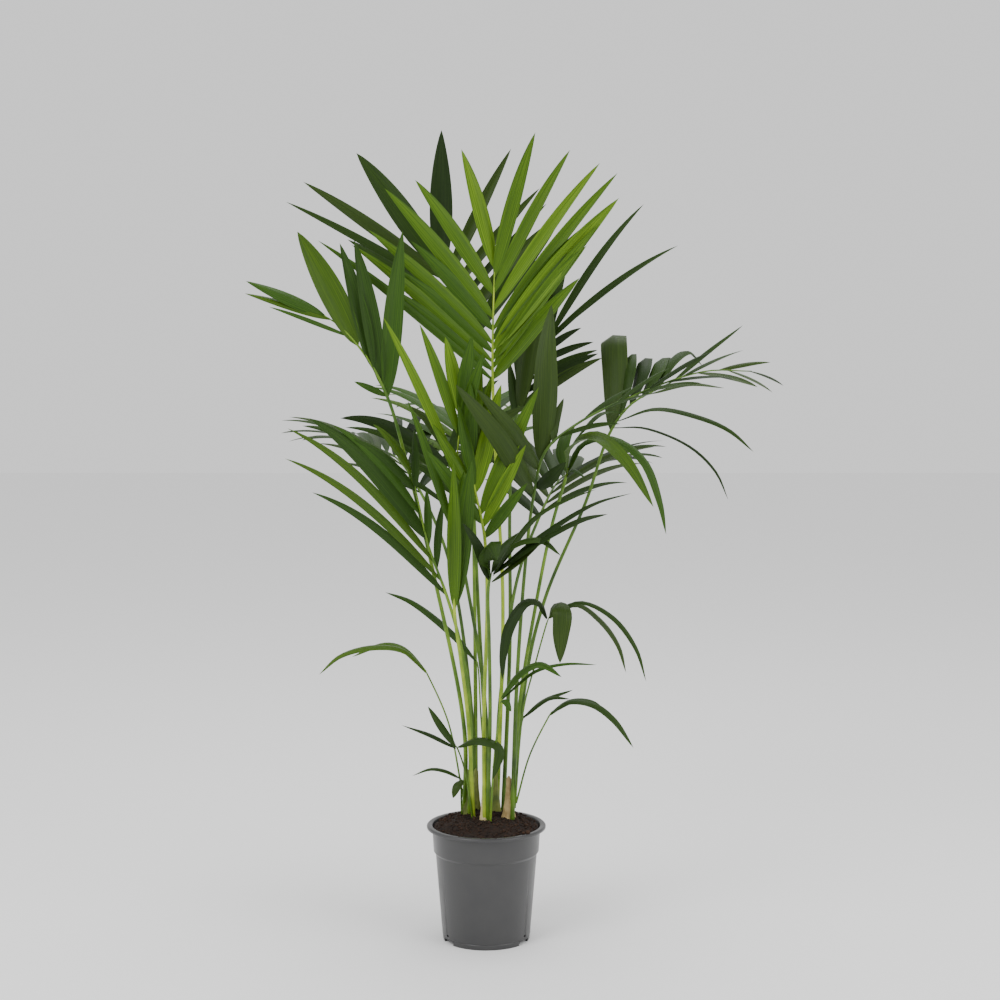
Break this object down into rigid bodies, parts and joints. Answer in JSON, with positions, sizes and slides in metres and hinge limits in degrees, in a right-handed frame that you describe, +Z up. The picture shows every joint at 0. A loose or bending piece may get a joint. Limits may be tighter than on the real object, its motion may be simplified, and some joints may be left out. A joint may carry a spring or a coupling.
{
  "type": "potted palm",
  "caption": "Clump of arching feather-leaved palm fronds on slender stalks, growing from dark soil in a plain tapered grey nursery pot with a wide flat rim",
  "frame": {"origin": "centre of the pot's underside, on the surface that it stands on", "axes": "+Z up along the pot's axis, -Y towards the side that the picture shows, +X to its right"},
  "size_m": [0.7667, 0.7417, 1.2207],
  "materials": {
    "pot_grey": "satin",
    "soil_brown": "matte",
    "stem_tan": "matte",
    "petiole_green": "satin",
    "leaf_green": "satin"
  },
  "bodies": {
    "root": {"blade_arch": "leaf_green", "blade_back": "leaf_green", "blade_centre": "leaf_green", "blade_dark_left": "leaf_green", "blade_front_dark": "leaf_green", "blade_front_left": "leaf_green", "blade_inner": "leaf_green", "blade_left": "leaf_green", "blade_low_left": "leaf_green", "blade_low_right": "leaf_green", "blade_rear_left": "leaf_green", "blade_rear_middle": "leaf_green", "blade_rear_right": "leaf_green", "blade_right": "leaf_green", "blade_right_back": "leaf_green", "blade_small_front": "leaf_green", "blade_small_grey": "leaf_green", "blade_small_high": "leaf_green", "blade_small_left": "leaf_green", "blade_small_middle": "leaf_green", "blade_small_rear": "leaf_green", "blade_small_right": "leaf_green", "petiole_arch": "petiole_green", "petiole_back": "petiole_green", "petiole_centre": "petiole_green", "petiole_dark_left": "petiole_green", "petiole_front_dark": "petiole_green", "petiole_front_left": "petiole_green", "petiole_inner": "petiole_green", "petiole_left": "petiole_green", "petiole_low_left": "petiole_green", "petiole_low_right": "petiole_green", "petiole_rear_left": "petiole_green", "petiole_rear_middle": "petiole_green", "petiole_rear_right": "petiole_green", "petiole_right": "petiole_green", "petiole_right_back": "petiole_green", "petiole_small_front": "petiole_green", "petiole_small_grey": "petiole_green", "petiole_small_high": "petiole_green", "petiole_small_left": "petiole_green", "petiole_small_middle": "petiole_green", "petiole_small_rear": "petiole_green", "petiole_small_right": "petiole_green", "pot": "pot_grey", "soil": "soil_brown", "stem_back": "stem_tan", "stem_left": "stem_tan", "stem_middle": "stem_tan", "stem_rear": "stem_tan", "stem_right": "stem_tan"}
  },
  "joints": []
}
